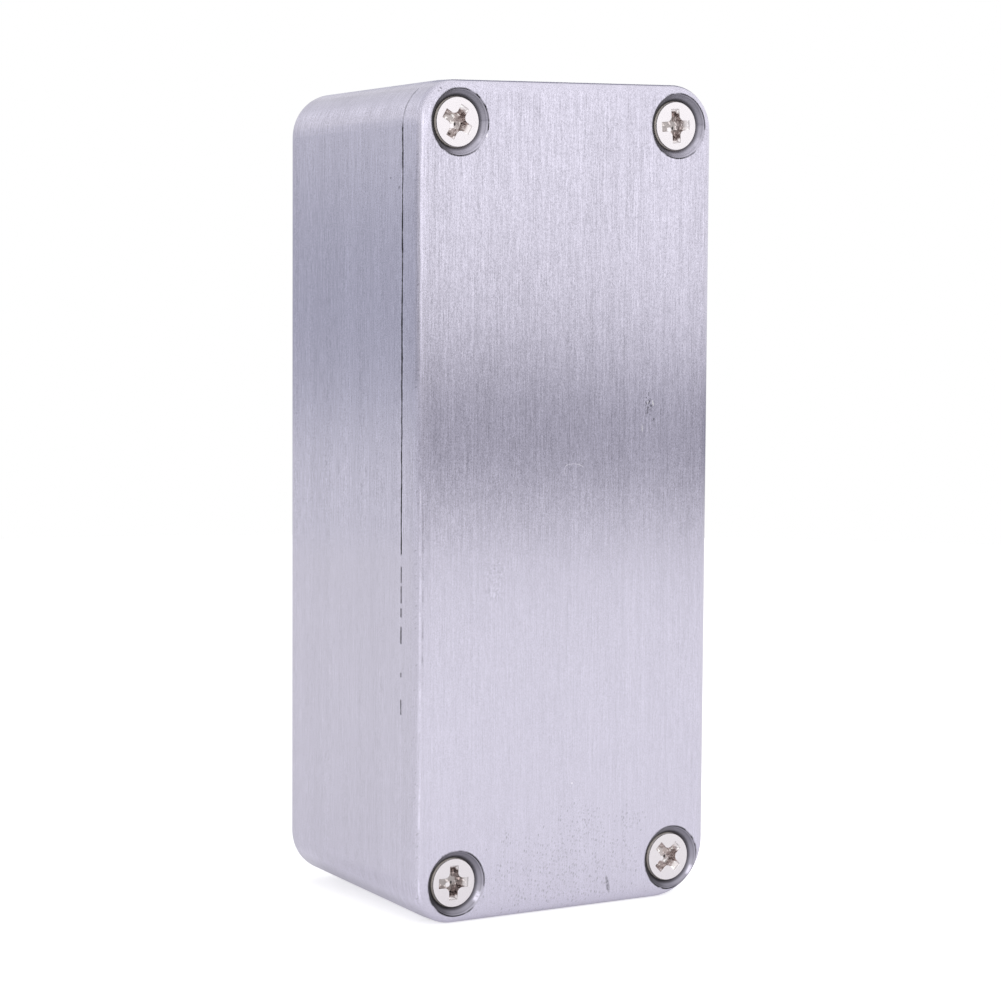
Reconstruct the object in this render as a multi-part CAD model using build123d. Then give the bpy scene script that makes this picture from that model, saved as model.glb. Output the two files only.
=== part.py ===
from build123d import *
import os
from math import hypot, radians, tan

# A small die cast aluminium box: a deep drafted body, a flat lid held by four countersunk
# screws, and a hollow inside with a screw boss in each corner.
# It is drawn lying on its base, with the length along Y and the lid face up, and every
# piece is stood on its end at the close, lid face forward, as the box is displayed.

# Outer form, in millimetres and degrees
box_length = 93.0            # end to end at the seam
box_width = 39.0             # side to side at the seam
box_depth = 31.0             # base face to lid face
lid_height = 3.75            # seam to lid face
corner_radius = 5.0          # upright corners of the lid and of the body
ground_corner_radius = 6.5   # the lower right corner is ground rounder than the others
side_draft_angle = 1.25      # the long sides lean in by this angle towards the base
end_draft_angle = 2.5        # and the short ends by this one
lid_edge_radius = 1.5        # brushed-over edge round the lid face
base_edge_radius = 2.0       # edge round the base
seam_break = 0.05            # broken edges that leave a hairline groove along the seam

# Casting walls and the hollow
wall = 2.0                   # side wall, the same from seam to base
base_thickness = 2.2
lid_plate_thickness = 2.2
floor_chamfer = 0.8          # inside edge round the floor

# Corner bosses and the screws' places
screw_side_inset = 5.0       # screw axis in from the long side
screw_end_inset = 4.6        # screw axis in from the short end
boss_radius = 3.6            # round nose of each boss
boss_blend = 2.0             # where a boss runs out into a wall

# The lid's tongue, a low ring that drops inside the body's rim
tongue_height = 1.2
tongue_thickness = 1.2
tongue_clearance = 0.2       # between the tongue and the body's wall
pocket_chamfer = 0.4         # inside edge round the lid's hollow

# Screws: cross-recessed, countersunk, metric
screw_diameter = 3.0         # over the thread, and in the tapped hole
screw_length = 10.0          # head face to tip
tip_chamfer = 0.4
head_diameter = 5.6
head_rim = 0.35              # straight rim between the head's face and its cone
head_sink = 0.5              # head face below the lid face
cone_angle = 90.0            # of the head and of its countersink
screw_hole_diameter = 3.4    # clearance hole through the lid
tapped_depth = 10.0          # full thread in the boss, below the seam
drill_point_angle = 118.0
thread_lead_in = 0.3         # chamfer at the mouth of a tapped hole

# The cross recess in a screw's head
recess_span = 3.86           # tip to tip of two opposite wings, at the face
recess_depth = 1.7
wing_width = 1.1
wing_flank_angle = 3.0       # flank of a wing, from upright
wing_tip_angle = 26.5        # end of a wing, from upright
recess_round_radius = 0.65   # of the round left at each corner between two wings, at the face
recess_round_angle = 13.0    # slope of those rounds, from upright
recess_round_bite = 0.015    # each round meets the flanks of its wings this far past tangent
recess_point_angle = 120.0

# The turn that each screw's recess was left at, by its corner on the standing box
recess_turn_angles = {
    "top_left": -30.0,
    "top_right": 4.0,
    "bottom_left": -2.0,
    "bottom_right": 43.0,
}

# Worked-out places
seam_z = box_depth - lid_height
lid_inside_z = box_depth - lid_plate_thickness
screw_x = box_width / 2 - screw_side_inset
screw_y = box_length / 2 - screw_end_inset
head_z = box_depth - head_sink


def lean(height, angle):
    return height * tan(radians(angle))


def at_corner(corner, x, y):
    # The point that lies x and y out from the middle, towards the named corner
    return (x if "right" in corner else -x, y if "top" in corner else -y)


def upright_edge(block, x, y):
    # The edge of a block that rises nearest to this place at the seam
    upright = block.edges().filter_by(lambda edge: abs(edge.tangent_at(0).Z) > 0.5)
    return upright.sort_by_distance((x, y, seam_z))[0]


def drafted(block):
    # Lean the long sides and the short ends in towards the base, turning about the seam
    seam_plane = Plane.XY.offset(seam_z)
    block = draft(block.faces().filter_by(Axis.X), seam_plane, -side_draft_angle)
    return draft(block.faces().filter_by(Axis.Y), seam_plane, -end_draft_angle)


def corners_rounded(block):
    # Round the four outer corners, one of them more than the rest
    for corner in recess_turn_angles:
        radius = ground_corner_radius if corner == "bottom_right" else corner_radius
        edge = upright_edge(block, *at_corner(corner, box_width / 2, box_length / 2))
        block = fillet([edge], radius)
    return block


def hollow_block(inset, bottom, top, leaning):
    # The space inside the walls between two levels: a block that steps round the four bosses
    half_width = box_width / 2 - wall - inset
    half_length = box_length / 2 - wall - inset
    nose_x = screw_x - boss_radius - inset
    nose_y = screw_y - boss_radius - inset
    plan = Rectangle(2 * half_width, 2 * half_length)
    step = Rectangle(half_width - nose_x, half_length - nose_y)
    for corner in recess_turn_angles:
        plan -= Pos(at_corner(corner, (half_width + nose_x) / 2, (half_length + nose_y) / 2)) * step
    block = extrude(Pos(0, 0, bottom) * plan, top - bottom)
    if leaning:
        block = drafted(block)
    for corner in recess_turn_angles:
        for x, y, radius in (
            (half_width, nose_y, boss_blend - inset),
            (nose_x, half_length, boss_blend - inset),
            (nose_x, nose_y, boss_radius + inset),
        ):
            block = fillet([upright_edge(block, *at_corner(corner, x, y))], radius)
    return block


def bore(diameter, bottom, top):
    # A plain round cutter between two levels
    return Pos(0, 0, (bottom + top) / 2) * Cylinder(diameter / 2, top - bottom)


def cone(bottom_radius, top_radius, bottom, top):
    return Pos(0, 0, (bottom + top) / 2) * Cone(bottom_radius, top_radius, top - bottom)


def make_body():
    # Outside: a block drafted on all four sides, with its corners and its base edge rounded
    body = corners_rounded(drafted(extrude(Rectangle(box_width, box_length), seam_z)))
    body = fillet(body.edges().group_by(Axis.Z)[0], base_edge_radius)
    body = chamfer(body.edges().group_by(Axis.Z)[-1], seam_break)

    # Inside: the same drafts, so the wall keeps its thickness and the bosses thicken downwards
    hollow = hollow_block(0, base_thickness, seam_z, leaning=True)
    body -= chamfer(hollow.edges().group_by(Axis.Z)[0], floor_chamfer)

    # Tapped holes down the bosses, each with its drill point and a lead-in at the mouth
    radius = screw_diameter / 2
    point = radius / tan(radians(drill_point_angle / 2))
    hole_bottom = seam_z - tapped_depth
    tapped_hole = bore(screw_diameter, hole_bottom, seam_z)
    tapped_hole += cone(0, radius, hole_bottom - point, hole_bottom)
    tapped_hole += cone(radius, radius + thread_lead_in, seam_z - thread_lead_in, seam_z)
    for corner in recess_turn_angles:
        body -= Pos(at_corner(corner, screw_x, screw_y)) * tapped_hole
    return body


def make_lid():
    # A flat slab with its outer edge rounded over
    lid = corners_rounded(extrude(Pos(0, 0, seam_z) * Rectangle(box_width, box_length), lid_height))
    lid = fillet(lid.edges().group_by(Axis.Z)[-1], lid_edge_radius)
    lid = chamfer(lid.edges().group_by(Axis.Z)[0], seam_break)

    # The tongue below the seam, then the hollow inside it, up to the underside of the plate
    tongue_z = seam_z - tongue_height
    tongue = hollow_block(tongue_clearance, tongue_z, seam_z, leaning=False)
    pocket = hollow_block(tongue_clearance + tongue_thickness, tongue_z, lid_inside_z, leaning=False)
    pocket = chamfer(pocket.edges().group_by(Axis.Z)[-1], pocket_chamfer)
    lid = lid + tongue - pocket

    # Clearance holes, and countersinks that carry each head at its rim
    spread = tan(radians(cone_angle / 2))
    mouth_radius = head_diameter / 2 + (head_sink + head_rim) * spread
    cone_height = (mouth_radius - screw_hole_diameter / 2) / spread
    screw_hole = bore(screw_hole_diameter, tongue_z, box_depth)
    screw_hole += cone(screw_hole_diameter / 2, mouth_radius, box_depth - cone_height, box_depth)
    for corner in recess_turn_angles:
        lid -= Pos(at_corner(corner, screw_x, screw_y)) * screw_hole
    return lid


def make_recess():
    # A core with a round left standing at each of its four corners, below the head's face
    bottom = head_z - recess_depth
    slope = lean(recess_depth, recess_round_angle)
    round_place = wing_width / 2 + recess_round_radius - recess_round_bite
    core_radius = hypot(wing_width / 2, round_place)
    recess = cone(core_radius - slope, core_radius, bottom, head_z)
    for x in (-round_place, round_place):
        for y in (-round_place, round_place):
            recess -= Pos(x, y) * cone(recess_round_radius + slope, recess_round_radius, bottom, head_z)

    # The point below the core, and two crossed tapering wings
    point_radius = hypot(round_place, round_place) - recess_round_radius - slope
    point_depth = point_radius / tan(radians(recess_point_angle / 2))
    recess += cone(0, point_radius, bottom - point_depth, bottom)
    span_low = recess_span - 2 * lean(recess_depth, wing_tip_angle)
    width_low = wing_width - 2 * lean(recess_depth, wing_flank_angle)
    low_plan = Pos(0, 0, bottom) * Rectangle(span_low, width_low)
    wing = loft([low_plan, Pos(0, 0, head_z) * Rectangle(recess_span, wing_width)], ruled=True)
    for turn in (0, 90):
        recess += Rot(0, 0, turn) * wing
    return recess


def make_screw():
    # Half section turned about the axis, then the recess
    head_radius = head_diameter / 2
    shank_radius = screw_diameter / 2
    rim_z = head_z - head_rim
    neck_z = rim_z - (head_radius - shank_radius) / tan(radians(cone_angle / 2))
    tip_z = head_z - screw_length
    section = Polyline(
        (0, 0, head_z),
        (head_radius, 0, head_z),
        (head_radius, 0, rim_z),
        (shank_radius, 0, neck_z),
        (shank_radius, 0, tip_z + tip_chamfer),
        (shank_radius - tip_chamfer, 0, tip_z),
        (0, 0, tip_z),
        close=True,
    )
    return revolve(make_face(section), Axis.Z) - make_recess()


pieces = {"box_body": make_body(), "lid": make_lid()}
screw = make_screw()
for corner, turn in recess_turn_angles.items():
    pieces["lid_screw_" + corner] = Pos(at_corner(corner, screw_x, screw_y)) * Rot(0, 0, turn) * screw

# Stand the box on its end, centred over the origin, with the lid face towards -Y
stand = Pos(0, box_depth / 2, box_length / 2) * Rot(90, 0, 0)
os.makedirs("parts", exist_ok=True)
for name, piece in pieces.items():
    standing = stand * piece
    standing.label = name
    export_step(standing, "parts/" + name + ".step")
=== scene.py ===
from math import cos, degrees, radians, sin

import bmesh
import bpy
from mathutils import Matrix, Vector


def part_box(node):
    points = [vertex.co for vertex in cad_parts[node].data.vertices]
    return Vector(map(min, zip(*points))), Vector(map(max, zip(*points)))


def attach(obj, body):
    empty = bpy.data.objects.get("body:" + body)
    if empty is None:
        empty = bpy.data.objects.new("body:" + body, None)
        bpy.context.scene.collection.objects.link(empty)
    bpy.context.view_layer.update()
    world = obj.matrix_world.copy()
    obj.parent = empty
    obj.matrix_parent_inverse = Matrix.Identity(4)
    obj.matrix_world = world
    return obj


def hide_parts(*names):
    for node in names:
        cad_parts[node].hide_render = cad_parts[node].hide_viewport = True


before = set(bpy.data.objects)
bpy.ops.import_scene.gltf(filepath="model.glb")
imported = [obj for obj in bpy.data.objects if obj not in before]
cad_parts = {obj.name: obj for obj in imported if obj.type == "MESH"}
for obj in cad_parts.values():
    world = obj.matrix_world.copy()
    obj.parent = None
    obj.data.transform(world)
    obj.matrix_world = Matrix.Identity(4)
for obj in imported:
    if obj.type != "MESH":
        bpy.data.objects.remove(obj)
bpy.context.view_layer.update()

# Lengths are written in millimetres, and turned into metres where a mesh or the camera needs them
mm = 0.001
screwNames = sorted(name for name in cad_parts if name.startswith("lid_screw_"))
lidLow, lidHigh = (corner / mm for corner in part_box("lid"))
bodyLow, bodyHigh = (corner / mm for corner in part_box("box_body"))
screwLow, screwHigh = (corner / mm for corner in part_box("lid_screw_top_right"))
lidFace = lidLow.y                                     # the lid's outer face, towards -Y
seam = bodyLow.y                                       # where lid and body meet
boxMiddle = lidHigh.z / 2
headFace = screwLow.y                                  # the screw heads lie a little below the lid's face
headRadius = (screwHigh.x - screwLow.x) / 2
headRim = 0.35                                         # straight rim between the head's face and its cone
screwAcross = (screwLow.x + screwHigh.x) / 2           # the screws' places, out from the lid's middle
screwAlong = (screwLow.z + screwHigh.z) / 2 - boxMiddle
print("frame loaded:", len(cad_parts), "pieces, box", [round(side, 2) for side in lidHigh - lidLow])


# Short ways to write shader and geometry nodes
def addNode(tree, kind, values=None, **settings):
    node = tree.nodes.new(kind)
    for name, value in settings.items():
        setattr(node, name, value)
    for name, value in (values or {}).items():
        plug(tree, node.inputs[name], value)
    return node


def plug(tree, socket, value):
    if isinstance(value, bpy.types.NodeSocket):
        tree.links.new(value, socket)
    else:
        socket.default_value = value


def maths(tree, operation, first, second=0.0):
    return addNode(tree, "ShaderNodeMath", {0: first, 1: second}, operation=operation).outputs[0]


def plus(tree, first, *others):
    for other in others:
        first = maths(tree, "ADD", first, other)
    return first


def minus(tree, first, second):
    return maths(tree, "SUBTRACT", first, second)


def times(tree, first, *others):
    for other in others:
        first = maths(tree, "MULTIPLY", first, other)
    return first


def most(tree, first, *others):
    for other in others:
        first = maths(tree, "MAXIMUM", first, other)
    return first


def sizeOf(tree, value):
    return maths(tree, "ABSOLUTE", value)


def vectorFrom(tree, x=0.0, y=0.0, z=0.0):
    return addNode(tree, "ShaderNodeCombineXYZ", {0: x, 1: y, 2: z}).outputs[0]


def partsOf(tree, vector, label=""):
    split = addNode(tree, "ShaderNodeSeparateXYZ", {0: vector})
    return {label + axis: split.outputs[axis] for axis in "XYZ"}


def scaled(tree, vector, factor):
    return addNode(tree, "ShaderNodeVectorMath", {0: vector, "Scale": factor}, operation="SCALE").outputs[0]


def along(tree, vector, way):
    # How far the vector reaches that way
    node = addNode(tree, "ShaderNodeVectorMath", {0: vector, 1: way}, operation="DOT_PRODUCT")
    return node.outputs["Value"]


def unit(tree, vector):
    return addNode(tree, "ShaderNodeVectorMath", {0: vector}, operation="NORMALIZE").outputs[0]


def aroundY(tree, vector):
    # At right angles to the vector and to Y
    node = addNode(tree, "ShaderNodeVectorMath", {0: vector, 1: (0, 1, 0)}, operation="CROSS_PRODUCT")
    return node.outputs[0]


def lengthOf(tree, vector):
    return addNode(tree, "ShaderNodeVectorMath", {0: vector}, operation="LENGTH").outputs["Value"]


def blendNumber(tree, share, first, second):
    return addNode(tree, "ShaderNodeMix", {0: share, 2: first, 3: second}, data_type="FLOAT").outputs[0]


def blendVector(tree, share, first, second):
    return addNode(tree, "ShaderNodeMix", {0: share, 4: first, 5: second}, data_type="VECTOR").outputs[1]


def blendColour(tree, share, first, second, how="MIX"):
    node = addNode(tree, "ShaderNodeMix", {0: share, 6: first, 7: second}, data_type="RGBA", blend_type=how)
    return node.outputs[2]


def ramp(tree, value, low, high, start=0.0, end=1.0, smooth=True):
    # Runs from start to end while the value runs from low to high
    node = addNode(tree, "ShaderNodeMapRange", {
        "Value": value, "From Min": low, "From Max": high, "To Min": start, "To Max": end,
    }, interpolation_type="SMOOTHSTEP" if smooth else "LINEAR")
    return node.outputs[0]


def band(tree, value, centre, half, soft):
    # One where the value is near the centre, zero elsewhere
    return ramp(tree, sizeOf(tree, minus(tree, value, centre)), half + soft, half)


def levels(tree, value, points):
    # A curve through (input, output) points, written from the lowest input to the highest
    low, high = points[0][0], points[-1][0]
    node = addNode(tree, "ShaderNodeValToRGB", {0: ramp(tree, value, low, high, smooth=False)})
    curve = node.color_ramp
    curve.interpolation = "EASE"
    while len(curve.elements) < len(points):
        curve.elements.new(0.5)
    for element, (where, level) in zip(curve.elements, points):
        element.position = (where - low) / (high - low)
        element.color = (level, level, level, 1)
    return node.outputs[0]


def newMaterial(name):
    material = bpy.data.materials.new(name)
    material.use_nodes = True
    material.node_tree.nodes.clear()
    return material


def finishMaterial(material, shader):
    addNode(material.node_tree, "ShaderNodeOutputMaterial", {"Surface": shader})
    return material


# Camera, worked out from the outline of the box in the picture
cameraSetup = {
    "lens": 120.19,                    # on the 36 mm sensor, for the square picture
    "turn": 32.3977,                   # degrees round from straight in front, to the left
    "lookDown": 5.2856,
    "roll": 0.3664,
    "distance": 387.22,
    "target": (0.813, 0.0, 45.248),
}


def makeCamera(setup):
    turn, down, roll = (radians(setup[key]) for key in ("turn", "lookDown", "roll"))
    forward = Vector((sin(turn) * cos(down), cos(turn) * cos(down), -sin(down)))
    right = Vector((cos(turn), -sin(turn), 0))
    up = right.cross(forward)
    right, up = cos(roll) * right + sin(roll) * up, cos(roll) * up - sin(roll) * right
    camera = bpy.data.objects.new("pictureCamera", bpy.data.cameras.new("pictureCamera"))
    camera.data.lens = setup["lens"]
    camera.data.clip_start, camera.data.clip_end = 0.01, 20
    place = (Vector(setup["target"]) - forward * setup["distance"]) * mm
    camera.matrix_world = Matrix.Translation(place) @ Matrix((right, up, -forward)).transposed().to_4x4()
    bpy.context.scene.collection.objects.link(camera)
    bpy.context.scene.camera = camera


makeCamera(cameraSetup)
bpy.context.scene.view_settings.view_transform = "Standard"
print("camera placed")


# Studio: a white room whose tone changes with height, and a pale floor
studio = {
    "frontSide": 32.4,                 # degrees, the way that the lid's reflection looks
    "turnsOver": (-0.8, -0.1),         # where round the room the back's tones give way to the front's
    "floorRadius": 400.0,
    "floorFront": 0.72,                # the floor's tone before the lid, and behind the box
    "floorBack": 0.585,
    "floorTurnsOver": (-60.0, 20.0),
    "floorLift": 0.275,                # added in reflections
    "cameraLift": 0.60,                # added for the camera, so that the floor is white but keeps a shadow
    # Brightness against height in degrees, as the lid mirrors it (front) and the left side (back)
    "front": [(-90, 0.95), (-12, 1.0), (-8.0, 1.0), (-6.6, 1.01), (-5.6, 0.91), (-4.9, 0.48), (-4.3, 0.24),
              (-3.7, 0.33), (-2.9, 0.73), (-1.9, 0.95), (-1.0, 1.03), (0.3, 1.08), (2.0, 1.13), (90, 1.12)],
    "back": [(-90, 0.84), (-12, 0.84), (-6.0, 0.85), (-4.6, 0.81), (-3.4, 0.58), (-2.2, 0.50), (-1.0, 0.54),
             (-0.1, 0.59), (0.5, 0.68), (1.2, 0.74), (6.0, 0.74), (14.0, 0.90), (34.0, 0.84), (56.0, 0.62),
             (64.0, 0.55), (72.0, 0.95), (90, 1.05)],
    "frontShade": (0.0, 0.0, 0.07),    # what the dark parts lean to
    "backShade": (0.0, 0.04, 0.165),
    # Places in the room that are lighter or darker: heading, height and reach in degrees
    "spots": [
        {"heading": -36.0, "height": 8.5, "reach": 34.0, "extra": 0.12},     # a window, left of the camera
        {"heading": 141.0, "height": 25.0, "reach": 19.0, "extra": -1.1},   # a dark doorway, behind
    ],
    "spotsAbove": (-4.5, -1.0),
}


def wayTo(heading, height=0.0):
    # The direction at this heading, turned from straight in front to the right, and this height
    heading, height = radians(heading), radians(height)
    return Vector((sin(heading) * cos(height), -cos(heading) * cos(height), sin(height)))


def makeStudioWorld(setup):
    world = bpy.data.worlds.new("softStudio")
    world.use_nodes = True
    tree = world.node_tree
    tree.nodes.clear()
    direction = addNode(tree, "ShaderNodeTexCoord").outputs["Generated"]
    height = times(tree, maths(tree, "ARCSINE", partsOf(tree, direction)["Z"]), degrees(1))
    share = ramp(tree, along(tree, direction, wayTo(setup["frontSide"])), *setup["turnsOver"])
    back, front = (levels(tree, height, setup[side]) for side in ("back", "front"))
    level = blendNumber(tree, share, back, front)
    aboveFloor = ramp(tree, height, *setup["spotsAbove"])
    for spot in setup["spots"]:
        near = along(tree, direction, wayTo(spot["heading"], spot["height"]))
        inSpot = ramp(tree, near, cos(radians(spot["reach"])), 1.0, 0.0, spot["extra"])
        level = plus(tree, level, times(tree, inSpot, aboveFloor))
    # Dark parts are a little bluer
    shade = blendVector(tree, share, setup["backShade"], setup["frontShade"])
    missing = most(tree, minus(tree, 1.0, level), 0.0)
    grey = vectorFrom(tree, level, level, level)
    tint = scaled(tree, shade, missing)
    colour = addNode(tree, "ShaderNodeVectorMath", {0: grey, 1: tint}, operation="ADD")
    # The camera sees plain white behind the box
    toCamera = addNode(tree, "ShaderNodeLightPath").outputs["Is Camera Ray"]
    seen = blendColour(tree, toCamera, colour.outputs[0], (1, 1, 1, 1))
    background = addNode(tree, "ShaderNodeBackground", {"Color": seen, "Strength": 1.0})
    addNode(tree, "ShaderNodeOutputWorld", {"Surface": background.outputs[0]})
    bpy.context.scene.world = world


def makeFloor(setup):
    mesh = bpy.data.meshes.new("studioFloor")
    bm = bmesh.new()
    bmesh.ops.create_circle(bm, cap_ends=True, segments=96, radius=setup["floorRadius"] * mm)
    bm.to_mesh(mesh)
    bm.free()
    floor = bpy.data.objects.new("studioFloor", mesh)
    bpy.context.scene.collection.objects.link(floor)
    material = newMaterial("paleFloor")
    tree = material.node_tree
    ahead = along(tree, placeInMm(tree), wayTo(setup["frontSide"]))
    tone = ramp(tree, ahead, *setup["floorTurnsOver"], setup["floorBack"], setup["floorFront"])
    matt = addNode(tree, "ShaderNodeBsdfDiffuse", {"Color": tone})
    path = addNode(tree, "ShaderNodeLightPath")
    mirrored = most(tree, path.outputs["Is Glossy Ray"], path.outputs["Is Transmission Ray"])
    lift = plus(tree, times(tree, mirrored, setup["floorLift"]),
                times(tree, path.outputs["Is Camera Ray"], setup["cameraLift"]))
    glow = addNode(tree, "ShaderNodeEmission", {"Strength": lift})
    both = addNode(tree, "ShaderNodeAddShader", {0: matt.outputs[0], 1: glow.outputs[0]})
    mesh.materials.append(finishMaterial(material, both.outputs[0]))


def placeInMm(tree):
    return scaled(tree, addNode(tree, "ShaderNodeTexCoord").outputs["Object"], 1 / mm)


makeStudioWorld(studio)
makeFloor(studio)
print("studio lit")


# Patterns, all in millimetres
def noiseAt(tree, place, cell, seed=0.0, detail=0.0):
    # Smooth noise about zero, with cells of the given size along X, Y and Z
    moved = addNode(tree, "ShaderNodeMapping", {
        "Vector": place, "Location": (seed, seed * 1.7, seed * 0.6), "Scale": [1 / size for size in cell]})
    noise = addNode(tree, "ShaderNodeTexNoise", {
        "Vector": moved.outputs[0], "Scale": 1.0, "Detail": detail, "Roughness": 0.6})
    return minus(tree, noise.outputs["Fac"], 0.5)


def leaningAt(tree, flat, centre, size, lean):
    # A flat place measured from a centre, in the given sizes, upright or leaning to the right
    moved = addNode(tree, "ShaderNodeMapping", {
        "Vector": flat, "Location": (*centre, 0), "Rotation": (0, 0, -radians(lean)), "Scale": (*size, 1),
    }, vector_type="TEXTURE")
    return moved.outputs[0]


def patch(tree, flat, centre, size, lean=0.0, soft=0.5):
    # One inside an ellipse with these half sizes, fading to zero at its rim
    return ramp(tree, lengthOf(tree, leaningAt(tree, flat, centre, size, lean)), 1.0, 1.0 - soft)


def patches(tree, flat, spots):
    return most(tree, *[patch(tree, flat, *spot) for spot in spots])


def specks(tree, flat, pattern, share):
    # Separate small marks, each of its own size and depth, in as many cells as the share says
    place = leaningAt(tree, flat, (0, 0), pattern["cell"], pattern["lean"])
    cells = addNode(tree, "ShaderNodeTexVoronoi", {"Vector": place, "Scale": 1.0}, voronoi_dimensions="2D")
    chance = partsOf(tree, cells.outputs["Color"])
    radius = ramp(tree, chance["X"], 0, 1, *pattern["radius"], smooth=False)
    inside = ramp(tree, minus(tree, radius, cells.outputs["Distance"]), 0.0, 0.10)
    present = ramp(tree, minus(tree, share, chance["Y"]), 0.0, 0.02)
    depth = ramp(tree, chance["Z"], 0, 1, 0.4, 1.0, smooth=False)
    return times(tree, inside, present, depth)


def arcLine(tree, flat, arc):
    # A hairline along part of a circle
    reach = lengthOf(tree, leaningAt(tree, flat, arc["centre"], (1, 1), 0.0))
    line = ramp(tree, sizeOf(tree, minus(tree, reach, arc["radius"])), arc["width"], 0.0)
    (leftEnd, rightEnd), fade = arc["between"], 0.15
    at = partsOf(tree, flat)
    return times(tree, line, ramp(tree, at["X"], leftEnd - fade, leftEnd + fade),
                 ramp(tree, at["X"], rightEnd + fade, rightEnd - fade),
                 ramp(tree, at["Y"], arc["above"] - fade, arc["above"] + fade))


def fromScrew(tree, at):
    # How far a place lies right of and above the axis of its corner's screw, and above the box's middle
    middle = minus(tree, at["Z"], boxMiddle)
    outX = minus(tree, at["X"], times(tree, maths(tree, "SIGN", at["X"]), screwAcross))
    outZ = minus(tree, middle, times(tree, maths(tree, "SIGN", middle), screwAlong))
    return outX, outZ, middle


# Brushed aluminium, for the body and the lid
aluminium = {
    "colour": (0.658, 0.631, 0.745),
    "roughness": 0.20,
    "anisotropy": 1.0,
    # The brush marks' layers: width, length and share
    "layers": [(0.085, 2.0, 0.52), (0.11, 12.0, 0.32), (0.9, 60.0, 0.13), (4.0, 80.0, 0.12)],
    "grain": {"cell": (0.09, 0.09, 0.15), "share": 0.85},     # specks between the marks
    "contrast": 1.18,                  # of the marks, where they are deepest
    "relief": 0.010,
    # How deep the belt bit, against height: more over the upper half
    "depth": [(0.0, 0.32), (38.0, 0.42), (50.0, 1.0), (93.0, 1.0)],
    "baseDepth": 0.7,                  # the same all over the base
    "clump": (1.6, 1.6, 4.5),          # the marks are deeper in some places than in others
    "clumpShare": 0.6,
    "sideShare": [(0.0, 1.5), (38.0, 1.0), (60.0, 0.78), (93.0, 0.78)],     # on the long sides, by height
    "sideWidth": 1.7,
    "cornerRadius": 5.0,
    # Depth of the marks, and the painted light and shade over the curve between sides and ends, against
    # |facing Z|
    "cornerDepth": [(0.0, 1.0), (0.25, 1.2), (0.42, 1.5), (0.60, 0.8), (1.0, 0.6)],
    "cornerLightAndShade": [(0.0, 1.0), (0.24, 0.99), (0.34, 1.03), (0.44, 1.08), (0.54, 1.05), (0.62, 1.0),
                   (0.72, 0.98), (0.81, 0.90), (0.88, 0.95), (0.94, 1.05), (1.0, 1.05)],
    "cloud": 0.05,
    "cloudCell": (9.0, 9.0, 14.0),
}
seamLook = {
    "half": (0.18, 0.12),              # half width of the dark line, at its faint rim and where it is full
    "wobble": 0.3,
    "dark": 1.0,
    "flankAt": 0.27,                   # a painted highlight on a burr, either side
    "flankGain": 0.16,
    # How much of the line is open, against height: a notch at the foot, brushed over, then open
    "open": [(0.0, 1.0), (0.4, 1.0), (0.7, 0.15), (40.6, 0.15), (41.6, 0.85), (85.3, 1.0), (86.2, 0.62),
             (87.6, 0.62), (88.4, 0.90), (91.8, 0.90), (92.4, 0.0), (93.0, 0.0)],
    # Dashes left where it is brushed over: height and half length
    "dashes": [(24.2, 0.75), (27.8, 0.15), (32.2, 0.85), (34.7, 0.4), (36.7, 0.85), (38.9, 0.8)],
    "dashSoft": 0.2,
    "dashShare": 0.75,
    "fainterAbove": (87.6, 88.4, 0.45),
}


def wayRound(tree, at):
    # How far round the box's outline a place lies: up the sides, over the corners and along the ends
    radius = aluminium["cornerRadius"]
    middle = minus(tree, at["Z"], boxMiddle)
    outX, outZ = sizeOf(tree, at["X"]), sizeOf(tree, middle)
    straightX, straightZ = lidHigh.x - radius, boxMiddle - radius
    pastX = most(tree, minus(tree, outX, straightX), 0.0)
    pastZ = most(tree, minus(tree, outZ, straightZ), 0.0)
    turned = times(tree, maths(tree, "ARCTAN2", pastZ, pastX), radius)
    fromSide = plus(tree, maths(tree, "MINIMUM", outZ, straightZ), turned)
    overEnd = minus(tree, straightX, maths(tree, "MINIMUM", outX, straightX))
    return times(tree, plus(tree, fromSide, overEnd), maths(tree, "SIGN", middle))


def brushMarks(tree, place, at, onWall, seed):
    # Marks drawn out along Z on the face and the base, and round the outline on the sides and ends,
    # where left and right lie apart in the pattern and so aren't mirror images
    apart = times(tree, maths(tree, "SIGN", at["X"]), 5.0)
    roundPlace = vectorFrom(tree, apart, at["Y"], wayRound(tree, at))
    total = 0.0
    for number, (width, length, share) in enumerate(aluminium["layers"]):
        lengthways = noiseAt(tree, place, (width, width, length), seed + number, 1.0)
        sideWidth = width * aluminium["sideWidth"]
        roundabout = noiseAt(tree, roundPlace, (1.0, sideWidth, length), seed + number + 5, 1.0)
        total = plus(tree, times(tree, blendNumber(tree, onWall, lengthways, roundabout), share), total)
    return total


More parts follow.
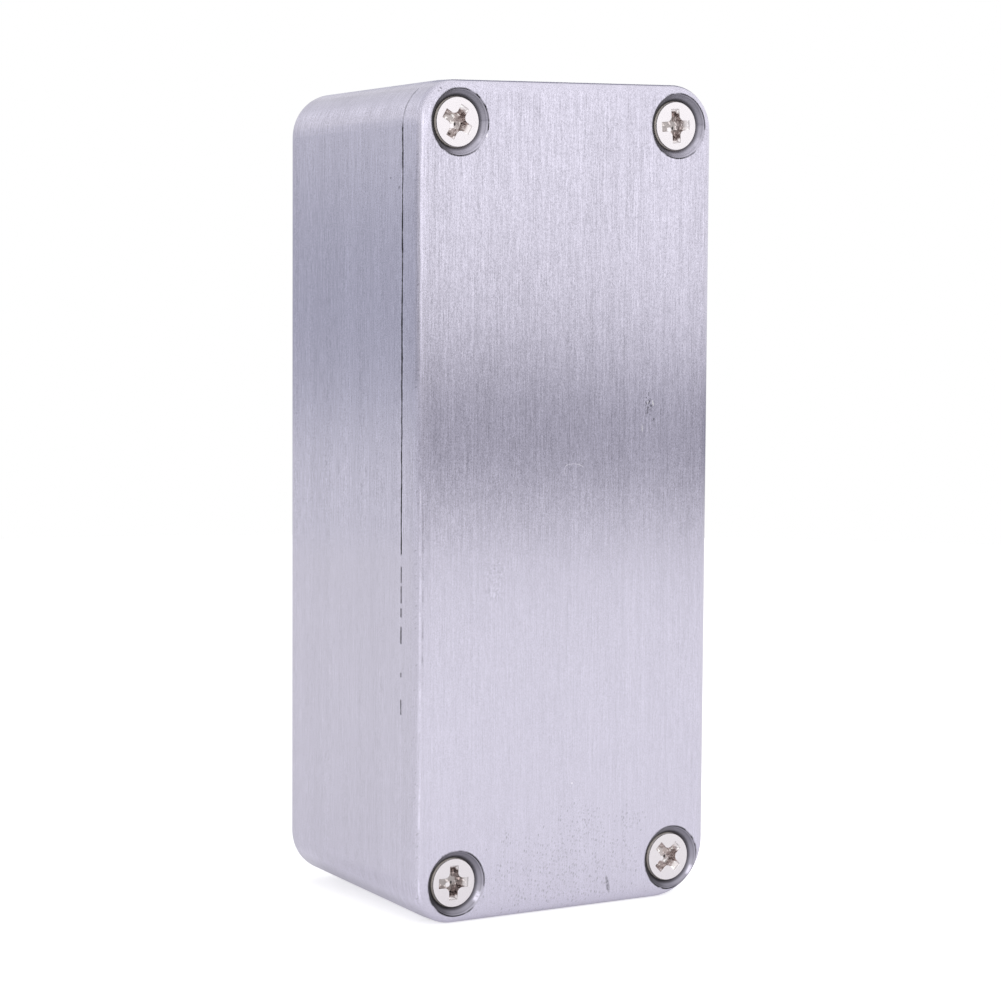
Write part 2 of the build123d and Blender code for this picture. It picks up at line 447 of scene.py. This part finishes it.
def seamTone(tree, at, seed):
    # What the hairline between lid and body takes from the tone, and the painted highlights on its burrs add
    look = seamLook
    height = vectorFrom(tree, 0.0, 0.0, at["Z"])
    lengthways = {size: noiseAt(tree, height, (1, 1, size), seed + size, 2.0) for size in (0.6, 1.3, 6.0)}
    offset = sizeOf(tree, plus(tree, at["Y"], -seam, times(tree, lengthways[6.0], look["wobble"])))
    line = ramp(tree, offset, *look["half"])
    openShare = minus(tree, levels(tree, at["Z"], look["open"]), plus(tree, lengthways[1.3], 0.5))
    dashes = most(tree, 0.0, *[band(tree, at["Z"], *dash, look["dashSoft"]) for dash in look["dashes"]])
    shown = most(tree, ramp(tree, openShare, -0.03, 0.08), times(tree, dashes, look["dashShare"]))
    foot, top, least = look["fainterAbove"]
    dark = times(tree, line, shown, ramp(tree, lengthways[0.6], -0.12, 0.06, 0.75, 1.0), -look["dark"],
                 ramp(tree, at["Z"], foot, top, 1.0, least))
    # A painted highlight along the burrs
    flank = times(tree, band(tree, offset, look["flankAt"], 0.03, 0.10), look["flankGain"],
                  ramp(tree, openShare, -0.10, 0.05), ramp(tree, lengthways[0.6], 0.10, -0.08))
    return plus(tree, dark, flank)


def makeBrushedAluminium(name, seed, addMarks):
    material = newMaterial(name)
    tree = material.node_tree
    place = placeInMm(tree)
    at = partsOf(tree, place)
    facing = addNode(tree, "ShaderNodeNewGeometry").outputs["Normal"]
    at.update(partsOf(tree, facing, "facing"))
    facingEnd = sizeOf(tree, at["facingZ"])
    onWall = ramp(tree, sizeOf(tree, at["facingY"]), 0.35, 0.15)     # round the sides and ends, not the face
    onSide = ramp(tree, sizeOf(tree, at["facingX"]), 0.5, 0.9)
    clumps = noiseAt(tree, place, aluminium["clump"], seed + 20, 1.0)
    onBase = ramp(tree, at["facingY"], 0.3, 0.7)
    depth = times(tree, blendNumber(tree, onBase, levels(tree, at["Z"], aluminium["depth"]),
                                    aluminium["baseDepth"]),
                  plus(tree, times(tree, clumps, aluminium["clumpShare"]), 1.0),
                  blendNumber(tree, onWall, 1.0, levels(tree, facingEnd, aluminium["cornerDepth"])),
                  blendNumber(tree, onSide, 1.0, levels(tree, at["Z"], aluminium["sideShare"])))
    marks = times(tree, brushMarks(tree, place, at, onWall, seed), depth)
    grain = times(tree, noiseAt(tree, place, aluminium["grain"]["cell"], seed + 30, 1.0), depth,
                  aluminium["grain"]["share"])
    cloud = noiseAt(tree, place, aluminium["cloudCell"], seed, 3.0)
    finish = {
        # The tone carries painted light and shade over the corners
        "tone": plus(tree, blendNumber(tree, onWall, 1.0, levels(tree, facingEnd, aluminium["cornerLightAndShade"])),
                     seamTone(tree, at, seed),
                     times(tree, plus(tree, marks, grain), aluminium["contrast"]),
                     times(tree, cloud, aluminium["cloud"])),
        "brush": blendVector(tree, onWall, (0, 0.02, 1), aroundY(tree, facing)),
        "normal": facing,
        "relief": marks,
        "roughness": aluminium["roughness"],
    }
    addMarks(tree, at, finish)
    colour = blendColour(tree, 1.0, (*aluminium["colour"], 1), finish["tone"], "MULTIPLY")
    bump = addNode(tree, "ShaderNodeBump", {
        "Height": finish["relief"], "Distance": aluminium["relief"] * mm, "Strength": 1.0,
        "Normal": finish["normal"]})
    shader = addNode(tree, "ShaderNodeBsdfPrincipled", {
        "Base Color": colour, "Metallic": 1.0, "Roughness": finish["roughness"],
        "Anisotropic": aluminium["anisotropy"], "Anisotropic Rotation": 0.25,
        "Tangent": finish["brush"], "Normal": bump.outputs[0]})
    return finishMaterial(material, shader.outputs[0])


# Wear on the lid, and a painted sheen: places are (x, z), with half sizes and a lean in degrees to the right
lidWear = {
    "pits": [((0.0, 4.5), (15.0, 7.5), 0.0, 0.9), ((-1.2, 5.0), (6.0, 5.2), 0.0, 0.8),
             ((1.9, 9.9), (4.2, 3.6), 0.0, 0.8), ((8.6, 9.5), (3.2, 2.8), 0.0, 0.9),
             ((-13.9, 5.5), (4.0, 4.2), 0.0, 1.0), ((-7.5, 8.8), (2.2, 2.0), 0.0, 1.0),
             ((-6.2, 2.2), (1.2, 2.0), 15.0, 0.6)],
    "pitPattern": {"cell": (0.23, 0.52), "lean": 14.0, "radius": (0.16, 0.40)},
    "pitShare": 0.72,
    "pitDepth": 0.30,
    "sheen": [((12.0, 65.0), (14.0, 24.0), 0.0, 0.8)],     # a painted sheen, a little lighter here
    "sheenGain": 0.055,
    "scuff": [((10.8, 57.0), (0.75, 1.7), 4.0)],
    "scuffPattern": {"cell": (0.19, 0.34), "lean": 14.0, "radius": (0.20, 0.50)},
    "scuffDepth": 0.6,
    "scuffStrokes": [((10.43, 57.15), (0.09, 0.36), -25.0), ((10.82, 57.25), (0.09, 0.34), 25.0),
                     ((11.13, 56.80), (0.20, 0.09), 0.0), ((10.62, 56.35), (0.10, 0.55), 6.0)],
    "strokeDepth": 0.55,
    "streak": [((5.74, 2.4), (0.30, 1.3), -11.0)],
    "streakDepth": 0.5,
    "swirl": [((-9.7, 38.2), (1.8, 3.5), 0.0)],
    "swirlDepth": 0.5,
    "darkSpots": [((-16.7, 92.0), (0.14, 0.14), 0.0), ((-17.0, 91.7), (0.10, 0.12), 0.0),
                  ((11.48, 55.28), (0.13, 0.20), 10.0), ((-10.9, 87.9), (0.16, 0.5), 0.0),
                  ((-17.4, 3.9), (0.10, 0.12), 0.0)],
    "darkSpotDepth": 0.5,
    "brightSpots": [((9.90, 54.35), (0.11, 0.62), -8.0), ((11.33, 57.15), (0.16, 0.42), -18.0),
                    ((10.62, 57.20), (0.09, 0.14), 0.0),
                    ((0.77, 14.5), (0.10, 0.12), 0.0), ((-11.1, 87.1), (0.14, 0.45), 0.0)],
    "brightSpotGain": 0.55,
    "faintSpots": [((10.05, 55.3), (0.10, 0.50), 6.0)],
    "faintSpotGain": 0.22,
    "scratches": [
        {"centre": (0.48, 47.64), "radius": 3.0, "width": 0.08, "between": (-0.1, 2.0), "above": 49.0},
        {"centre": (0.12, 49.9), "radius": 0.74, "width": 0.08, "between": (-0.9, 0.0), "above": 49.35},
    ],
    "scratchGain": 0.5,
    # The rounded left edge, where facing left runs from 1 on the side to 0 on the face: worn lines painted
    # as highlights, low and high, a dark scrape, and painted shade taking the side's tone to the upper glint
    "edgeDrift": [(0.0, 0.0), (60.0, 0.0), (72.0, -0.05), (93.0, -0.04)],
    "edgeMarks": [
        {"facing": 0.715, "half": 0.02, "soft": 0.06, "gain": 0.22, "foot": -2.0, "top": 52.0, "broken": 0.9},
        {"facing": 0.70, "half": 0.02, "soft": 0.08, "gain": 0.18, "foot": 54.0, "top": 95.0, "broken": 0.3},
        {"facing": 0.55, "half": 0.02, "soft": 0.06, "gain": -0.24, "foot": 27.0, "top": 47.0, "broken": 0.9},
        {"facing": 0.87, "half": 0.06, "soft": 0.07, "gain": -0.19, "foot": 60.0, "top": 89.0, "broken": 0.0},
    ],
    "edgeWander": 0.15,                # how far those lines stray over the curve
    "chips": {"facing": -0.84, "half": 0.08, "soft": 0.08, "share": 0.3, "edgeRadius": 1.5, "depth": 0.2,
              "pattern": {"cell": (0.22, 0.60), "lean": 25.0, "radius": (0.15, 0.40)}},
}
# The countersinks, turned on a lathe: painted light and shade by degrees round the screw, from the right,
# anticlockwise
countersink = {
    "mouth": headRadius + (headFace - lidFace) + headRim,
    "lightAndShadeAround": [(-180, 0.06), (-150, 0.07), (-120, 0.20), (-90, 0.45), (-55, 0.62), (-20, 0.66), (0, 0.62),
                   (45, 0.42), (90, 0.38), (125, 0.22), (150, 0.08), (180, 0.06)],
    "upperLift": {"angle": -72.0, "half": 22.0, "soft": 30.0, "gain": 0.16},    # painted light, below the upper two heads
    "shadeByReach": [(2.9, 0.40), (3.25, 0.95), (3.45, 1.0), (3.65, 1.3)],     # painted shade beside the head: the tone's share, against reach
    "ringPitch": 0.10,
    "ringGain": 1.1,
    "roughness": 0.32,
    # A painted highlight on the wall
    "glint": {"angle": -32.0, "half": 5.0, "soft": 9.0, "reach": 3.36, "gain": 0.75},
    "glintUpper": 0.3,                 # the glint's share on the upper two
    "rimLine": 0.85,                   # a dark line round the mouth, stronger in some places
    "rimLineAround": [(-180, 0.25), (-135, 0.85), (-100, 1.0), (-62, 0.8), (-42, 0.15), (-20, 0.5), (0, 0.8),
                      (60, 0.85), (100, 0.7), (135, 0.2), (180, 0.25)],
}


def addLidMarks(tree, at, finish):
    flat = vectorFrom(tree, at["X"], at["Z"])
    onFace = ramp(tree, at["facingY"], -0.3, -0.6)
    wear = lidWear

    # Pits and a scuff made of small specks, a dark streak, and single spots
    pitted = times(tree, patches(tree, flat, wear["pits"]), wear["pitShare"])
    pits = specks(tree, flat, wear["pitPattern"], pitted)
    scuff = specks(tree, flat, wear["scuffPattern"], patches(tree, flat, wear["scuff"]))
    mottle = noiseAt(tree, vectorFrom(tree, at["X"], 0.0, at["Z"]), (0.3, 1.0, 0.3), 31.0, 1.0)
    streak = times(tree, patches(tree, flat, wear["streak"]), ramp(tree, mottle, -0.15, 0.1, 0.5, 1.0))
    dark = plus(tree, times(tree, pits, wear["pitDepth"]), times(tree, scuff, wear["scuffDepth"]),
                times(tree, streak, wear["streakDepth"]),
                times(tree, patches(tree, flat, wear["darkSpots"]), wear["darkSpotDepth"]),
                times(tree, patches(tree, flat, wear["scuffStrokes"]), wear["strokeDepth"]),
                times(tree, patches(tree, flat, wear["swirl"]), mottle, wear["swirlDepth"]))
    scratches = most(tree, *[arcLine(tree, flat, arc) for arc in wear["scratches"]])
    # Bright scratches and spots, and a painted sheen
    bright = plus(tree, times(tree, scratches, wear["scratchGain"]),
                  times(tree, patches(tree, flat, wear["brightSpots"]), wear["brightSpotGain"]),
                  times(tree, patches(tree, flat, wear["faintSpots"]), wear["faintSpotGain"]),
                  times(tree, patches(tree, flat, wear["sheen"]), wear["sheenGain"]))
    finish["tone"] = plus(tree, finish["tone"], times(tree, onFace, minus(tree, bright, dark)))

    # The rounded left edge: worn lines painted as highlights, painted shade, a dark scrape over part of
    # the height, and slanting specks
    height = vectorFrom(tree, 0.0, 0.0, at["Z"])
    onCurve = ramp(tree, sizeOf(tree, at["facingZ"]), 0.5, 0.2)
    wander = times(tree, noiseAt(tree, height, (1, 1, 7.0), 17.0, 1.0), wear["edgeWander"])
    facing = plus(tree, times(tree, at["facingX"], -1.0), levels(tree, at["Z"], wear["edgeDrift"]), wander)
    for seed, mark in enumerate(wear["edgeMarks"]):
        broken = ramp(tree, noiseAt(tree, height, (1, 1, 2.4), 21.0 + seed, 3.0), -0.10, 0.12,
                      1.0 - 0.9 * mark["broken"], 1.0 + 0.2 * mark["broken"])
        line = band(tree, facing, mark["facing"], mark["half"], mark["soft"])
        reached = times(tree, ramp(tree, at["Z"], mark["foot"] - 1, mark["foot"] + 1),
                        ramp(tree, at["Z"], mark["top"] + 2, mark["top"] - 2))
        finish["tone"] = plus(tree, finish["tone"], times(tree, line, mark["gain"], onCurve, broken, reached))
    chips = wear["chips"]
    nearEdge = band(tree, at["facingX"], chips["facing"], chips["half"], chips["soft"])
    unrolled = vectorFrom(tree, times(tree, at["facingX"], chips["edgeRadius"]), at["Z"])
    chipped = specks(tree, unrolled, chips["pattern"], times(tree, nearEdge, onCurve, chips["share"]))
    finish["tone"] = plus(tree, finish["tone"], times(tree, chipped, -chips["depth"]))

    # Countersinks: turned rings, painted light and shade round the wall, and painted shade beside the head
    outX, outZ, middle = fromScrew(tree, at)
    outward = vectorFrom(tree, outX, 0.0, outZ)
    reach = lengthOf(tree, outward)
    inSeat = ramp(tree, reach, countersink["mouth"] + 0.02, countersink["mouth"] - 0.04)
    rings = noiseAt(tree, vectorFrom(tree, 0.0, at["Y"], 0.0), (1.0, countersink["ringPitch"], 1.0), 2.0, 2.0)
    angle = times(tree, maths(tree, "ARCTAN2", outZ, outX), degrees(1))
    # Painted light and shade round the wall and beside the head, over the turned rings
    seatTone = times(tree, levels(tree, angle, countersink["lightAndShadeAround"]),
                     levels(tree, reach, countersink["shadeByReach"]),
                     plus(tree, times(tree, rings, countersink["ringGain"]), 1.0))
    # A painted highlight on the wall, fainter on the upper two
    glint = countersink["glint"]
    shine = times(tree, band(tree, angle, glint["angle"], glint["half"], glint["soft"]),
                  band(tree, reach, glint["reach"], 0.08, 0.16), glint["gain"],
                  ramp(tree, middle, -0.1, 0.1, 1.0, countersink["glintUpper"]))
    # Painted light on the wall below the upper two heads
    lift = countersink["upperLift"]
    lifted = times(tree, band(tree, angle, lift["angle"], lift["half"], lift["soft"]), lift["gain"],
                   ramp(tree, middle, -0.1, 0.1))
    seatTone = plus(tree, seatTone, times(tree, shine, ramp(tree, mottle, -0.2, 0.0, 0.5, 1.0)), lifted)
    broken = noiseAt(tree, vectorFrom(tree, at["X"], 0.0, at["Z"]), (1.3, 1.0, 1.3), 41.0, 1.0)
    rimLine = times(tree, band(tree, reach, countersink["mouth"] + 0.02, 0.05, 0.06),
                    levels(tree, angle, countersink["rimLineAround"]),
                    ramp(tree, broken, -0.14, 0.02, 0.3, 1.0), countersink["rimLine"])
    finish["tone"] = minus(tree, blendNumber(tree, inSeat, finish["tone"], seatTone), rimLine)
    finish["brush"] = blendVector(tree, inSeat, finish["brush"], aroundY(tree, outward))
    inward = vectorFrom(tree, times(tree, outX, -1.0), times(tree, reach, -1.0), times(tree, outZ, -1.0))
    finish["normal"] = blendVector(tree, inSeat, finish["normal"], unit(tree, inward))
    finish["relief"] = blendNumber(tree, inSeat, finish["relief"], rings)
    finish["roughness"] = blendNumber(tree, inSeat, finish["roughness"], countersink["roughness"])


# Two dents on the body's left side, drawn as painted shade, not as shape: (y, z), half sizes and lean
bodyWear = {
    "dents": [((-9.1, 82.3), (0.20, 0.16), 0.0), ((-11.0, 81.3), (0.28, 0.20), 40.0)],
    "dentShade": 0.38,
}


def addBodyMarks(tree, at, finish):
    onLeft = ramp(tree, at["facingX"], -0.5, -0.8)
    dents = patches(tree, vectorFrom(tree, at["Y"], at["Z"]), bodyWear["dents"])
    # Painted shade where the dents are
    finish["tone"] = minus(tree, finish["tone"], times(tree, dents, onLeft, bodyWear["dentShade"]))


def dressNode(name, material):
    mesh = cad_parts[name].data
    mesh.materials.clear()
    mesh.materials.append(material)


dressNode("box_body", makeBrushedAluminium("brushedBody", 3.0, addBodyMarks))
dressNode("lid", makeBrushedAluminium("brushedLid", 11.0, addLidMarks))
print("aluminium brushed")


# Nickel-plated screws
nickel = {
    "colour": (0.92, 0.875, 0.905),
    "lowerShade": 0.87,                 # painted shade on the two screws below, beside the upper two
    "rimColour": (0.37, 0.335, 0.31),  # the straight rim of the head is darker and browner
    "rimTilt": 0.55,                   # how far the rim's shading leans to the front
    "recessColour": (0.64, 0.58, 0.57),
    "turnedTones": (1.40, 1.16),       # painted light on the recesses that stand turned: lower right, then upper left
    "roughness": 0.22,
    "rimRoughness": 0.50,
    "recessFloor": 1.7,                # below the face, where the painted shade in the recess is darkest
    "recessDeepShade": 0.62,
    "recessGlints": 1.1,               # painted glints, added in patches over the recess
    "wingTips": (1.35, 1.70),          # out from the middle, where the punch rounded the recess to the front
    "tipDepth": (0.9, 0.3),
    # the share of the tips' colour painted toward the head's, as a painted highlight
    "tipShare": 0.6,
    "tipTilt": 0.5,
    # a dark line round the wings just below the face, as painted shade
    "tipOutline": 0.35,
    # A bright fleck, a painted highlight, and a dark one, painted shade, on the floor of each recess
    "fleck": {"centre": (0.0, -0.42), "size": (0.36, 0.34), "below": (0.9, 1.2), "way": (-0.3, -0.95, 0.1)},
    "hole": {"centre": (0.42, -0.22), "size": (0.16, 0.24)},
    "grain": 0.04,
    "cloud": 0.05,
    "relief": 0.002,
    "facetRelief": 15.0,               # of the recess's facets, where the grain has 1
}
screwShape = {
    "headDepth": 1.65,                 # face to the bottom of the cone, where the thread starts
    "rimSlope": 0.12,                  # the face is this much narrower than the rim, on each side
    "edgeBreak": 0.07,
    "coreRadius": 1.2,
    "crestRadius": 1.49,
    "pitch": 0.5,
    "ridgeShare": 0.88,                # of the pitch, that the thread's ridge takes up
    "tipLength": 0.4,
    "tipShare": 0.7,                   # the tip's end, beside the core
    "overlap": 0.3,                    # how far the core runs into the head
    "bevelAngle": 32.0,                # edges sharper than this are broken
    "sharpAngle": 40.0,                # and those sharper than this are shaded sharp
}


def makeNickel(name):
    material = newMaterial(name)
    tree = material.node_tree
    place = placeInMm(tree)
    at = partsOf(tree, place)
    grain = noiseAt(tree, place, (0.12, 0.12, 0.12), 4.0, 2.0)
    cloud = noiseAt(tree, place, (1.4, 1.4, 1.4), 9.0, 2.0)
    outX, outZ, middle = fromScrew(tree, at)
    flat = vectorFrom(tree, outX, outZ)
    reach = lengthOf(tree, flat)
    below = minus(tree, at["Y"], headFace)
    outside = ramp(tree, reach, headRadius - screwShape["rimSlope"], headRadius - 0.05)
    onRim = times(tree, outside, ramp(tree, below, 0.02, 0.06))
    inRecess = times(tree, ramp(tree, below, 0.03, 0.10), minus(tree, 1.0, outside))
    # Painted shade, darker towards the recess's floor
    deep = ramp(tree, below, 0.1, nickel["recessFloor"], 1.0, nickel["recessDeepShade"], smooth=False)
    colour = blendColour(tree, onRim, (*nickel["colour"], 1), (*nickel["rimColour"], 1))
    facets = noiseAt(tree, place, (0.38, 0.38, 0.38), 13.0, 1.0)
    glints = ramp(tree, facets, 0.06, 0.14, 1.0, 1 + nickel["recessGlints"])
    # Painted light: the recesses that stand turned are made lighter
    corner = times(tree, maths(tree, "SIGN", at["X"]), maths(tree, "SIGN", middle))
    turnedTone = ramp(tree, middle, -0.1, 0.1, *nickel["turnedTones"])
    recessTone = times(tree, deep, glints, ramp(tree, corner, -0.5, 0.5, turnedTone, 1.0))
    recess = blendColour(tree, 1.0, (*nickel["recessColour"], 1), recessTone, "MULTIPLY")
    fleck, hole = nickel["fleck"], nickel["hole"]
    onFloor = ramp(tree, below, *fleck["below"])
    # The bright fleck is a painted highlight with its shading turned to the front; the dark one is painted
    # shade
    onFleck = times(tree, patch(tree, flat, fleck["centre"], fleck["size"], 0.0, 0.4), onFloor, inRecess)
    inShadeFleck = times(tree, patch(tree, flat, hole["centre"], hole["size"], 0.0, 0.4), onFloor, 0.9)
    onTip = times(tree, ramp(tree, reach, *nickel["wingTips"]), ramp(tree, below, *nickel["tipDepth"]),
                  inRecess, ramp(tree, outX, -1.2, 0.0, 0.3, 1.0))
    # Painted highlights: the wing tips and the bright fleck take the head's colour
    lit = most(tree, times(tree, onTip, nickel["tipShare"]), onFleck)
    recess = blendColour(tree, lit, recess, (*nickel["colour"], 1))
    # Painted shade: a dark line round the wings just below the face, and the dark fleck
    outline = times(tree, band(tree, below, 0.12, 0.02, 0.08), ramp(tree, reach, 1.1, 1.3),
                    nickel["tipOutline"])
    recess = blendColour(tree, most(tree, outline, inShadeFleck), recess, (0.02, 0.02, 0.02, 1))
    colour = blendColour(tree, inRecess, colour, recess)
    # Grain, and painted shade on the two lower screws
    tone = times(tree, plus(tree, times(tree, grain, nickel["grain"]), 1.0),
                 ramp(tree, middle, -0.1, 0.1, nickel["lowerShade"], 1.0))
    colour = blendColour(tree, 1.0, colour, tone, "MULTIPLY")
    rough = plus(tree, blendNumber(tree, onRim, nickel["roughness"], nickel["rimRoughness"]),
                 times(tree, cloud, nickel["cloud"]))
    height = plus(tree, grain, times(tree, facets, inRecess, nickel["facetRelief"]))
    bump = addNode(tree, "ShaderNodeBump", {
        "Height": height, "Distance": nickel["relief"] * mm, "Strength": 1.0})
    toFront = plus(tree, times(tree, onTip, nickel["tipTilt"]), times(tree, onRim, nickel["rimTilt"]))
    normal = blendVector(tree, toFront, bump.outputs[0], (0, -1, 0))
    normal = blendVector(tree, onFleck, normal, fleck["way"])
    shader = addNode(tree, "ShaderNodeBsdfPrincipled", {
        "Base Color": colour, "Metallic": 1.0, "Roughness": rough, "Normal": unit(tree, normal)})
    return finishMaterial(material, shader.outputs[0])


def makeThreadTree(material):
    # Adds a threaded shank to a screw head: a core, a helical ridge and a tapered tip, all along +Y
    tree = bpy.data.node_groups.new("threadedShank", "GeometryNodeTree")
    tree.interface.new_socket("Head", in_out="INPUT", socket_type="NodeSocketGeometry")
    for name in ("Core Radius", "Ridge Height", "Pitch", "Turns", "Length", "Tip Length"):
        tree.interface.new_socket(name, in_out="INPUT", socket_type="NodeSocketFloat")
    tree.interface.new_socket("Start", in_out="INPUT", socket_type="NodeSocketVector")
    tree.interface.new_socket("Screw", in_out="OUTPUT", socket_type="NodeSocketGeometry")
    given = tree.nodes.new("NodeGroupInput").outputs
    helix = addNode(tree, "GeometryNodeCurveSpiral", {
        "Resolution": 24, "Rotations": given["Turns"], "Start Radius": given["Core Radius"],
        "End Radius": given["Core Radius"], "Height": given["Length"]})
    upright = addNode(tree, "GeometryNodeSetCurveNormal", {"Curve": helix.outputs[0]}, mode="Z_UP")
    ridge = addNode(tree, "GeometryNodeCurvePrimitiveQuadrilateral", {
        "Width": times(tree, given["Pitch"], screwShape["ridgeShare"]),
        "Bottom Height": given["Ridge Height"], "Top Height": given["Ridge Height"]}, mode="KITE")
    thread = addNode(tree, "GeometryNodeCurveToMesh", {
        "Curve": upright.outputs[0], "Profile Curve": ridge.outputs[0], "Fill Caps": True})
    core = addNode(tree, "GeometryNodeMeshCylinder", {
        "Vertices": 32, "Radius": given["Core Radius"], "Depth": given["Length"]})
    coreAt = addNode(tree, "GeometryNodeTransform", {
        "Geometry": core.outputs["Mesh"],
        "Translation": vectorFrom(tree, z=times(tree, given["Length"], 0.5))})
    tip = addNode(tree, "GeometryNodeMeshCone", {
        "Vertices": 32, "Radius Bottom": given["Core Radius"],
        "Radius Top": times(tree, given["Core Radius"], screwShape["tipShare"]),
        "Depth": given["Tip Length"]})
    tipAt = addNode(tree, "GeometryNodeTransform", {
        "Geometry": tip.outputs["Mesh"], "Translation": vectorFrom(tree, z=given["Length"])})
    shank = tree.nodes.new("GeometryNodeJoinGeometry")
    for part in (thread.outputs[0], coreAt.outputs[0], tipAt.outputs[0]):
        tree.links.new(part, shank.inputs[0])
    placed = addNode(tree, "GeometryNodeTransform", {
        "Geometry": shank.outputs[0], "Translation": given["Start"], "Rotation": (radians(-90), 0, 0)})
    whole = tree.nodes.new("GeometryNodeJoinGeometry")
    for part in (placed.outputs[0], given["Head"]):
        tree.links.new(part, whole.inputs[0])
    real = addNode(tree, "GeometryNodeRealizeInstances", {0: whole.outputs[0]})
    dressed = addNode(tree, "GeometryNodeSetMaterial", {"Geometry": real.outputs[0], "Material": material})
    tree.links.new(dressed.outputs[0], tree.nodes.new("NodeGroupOutput").inputs[0])
    return tree


def takeHead(node, low, high, headEnd):
    # A merged copy of the CAD screw, cut off below its head, with the rim of its face drawn in a little
    mesh = node.data.copy()
    bm = bmesh.new()
    bm.from_mesh(mesh)
    mergeWithin, flatWithin = 0.0005 * mm, 0.001 * mm
    bmesh.ops.remove_doubles(bm, verts=bm.verts, dist=mergeWithin)
    centre = Vector(((low.x + high.x) / 2, low.y, (low.z + high.z) / 2)) * mm
    for vertex in bm.verts:
        out = vertex.co - centre
        if abs(out.y) < flatWithin and out.length > (headRadius - screwShape["edgeBreak"]) * mm:
            vertex.co = centre + out * (1 - screwShape["rimSlope"] / headRadius)
    everything = bm.verts[:] + bm.edges[:] + bm.faces[:]
    bmesh.ops.bisect_plane(bm, geom=everything, dist=1e-7, plane_co=(0, headEnd * mm, 0), plane_no=(0, 1, 0),
                           clear_outer=True)
    bmesh.ops.dissolve_limit(bm, angle_limit=radians(1), verts=bm.verts, edges=bm.edges)
    bm.to_mesh(mesh)
    bm.free()
    return mesh


def makeScrew(name, tree, material):
    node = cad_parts[name]
    low, high = (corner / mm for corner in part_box(name))
    headEnd = low.y + screwShape["headDepth"]
    screw = bpy.data.objects.new(name + "_threaded", takeHead(node, low, high, headEnd))
    bpy.context.scene.collection.objects.link(screw)
    bevel = screw.modifiers.new("brokenEdges", "BEVEL")
    bevel.width = screwShape["edgeBreak"] * mm
    bevel.segments = 3
    bevel.limit_method = "ANGLE"
    bevel.angle_limit = radians(screwShape["bevelAngle"])
    threader = screw.modifiers.new("threadedShank", "NODES")
    threader.node_group = tree
    overlap = screwShape["overlap"]
    length = high.y - screwShape["tipLength"] / 2 - headEnd + overlap
    sizes = {
        "Core Radius": screwShape["coreRadius"] * mm,
        "Ridge Height": (screwShape["crestRadius"] - screwShape["coreRadius"]) * mm,
        "Pitch": screwShape["pitch"] * mm,
        "Turns": length / screwShape["pitch"],
        "Length": length * mm,
        "Tip Length": screwShape["tipLength"] * mm,
        "Start": [(low.x + high.x) / 2 * mm, (headEnd - overlap) * mm, (low.z + high.z) / 2 * mm],
    }
    for socket in tree.interface.items_tree:
        if socket.in_out == "INPUT" and socket.name in sizes:
            threader[socket.identifier] = sizes[socket.name]
    finished = bpy.data.meshes.new_from_object(screw.evaluated_get(bpy.context.evaluated_depsgraph_get()))
    screw.modifiers.clear()
    screw.data = finished
    finished.materials.clear()
    finished.materials.append(material)
    finished.polygons.foreach_set("material_index", [0] * len(finished.polygons))
    finished.shade_smooth()
    finished.set_sharp_from_angle(angle=radians(screwShape["sharpAngle"]))
    for polygon in finished.polygons:
        polygon.use_smooth = abs(polygon.normal.y) < 0.999    # the face of the head stays flat
    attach(screw, "root")
    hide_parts(name)
    return screw


nickelPlate = makeNickel("nickelPlate")
threadTree = makeThreadTree(nickelPlate)
for name in screwNames:
    screw = makeScrew(name, threadTree, nickelPlate)
    print("screw made:", screw.name, len(screw.data.polygons), "faces")
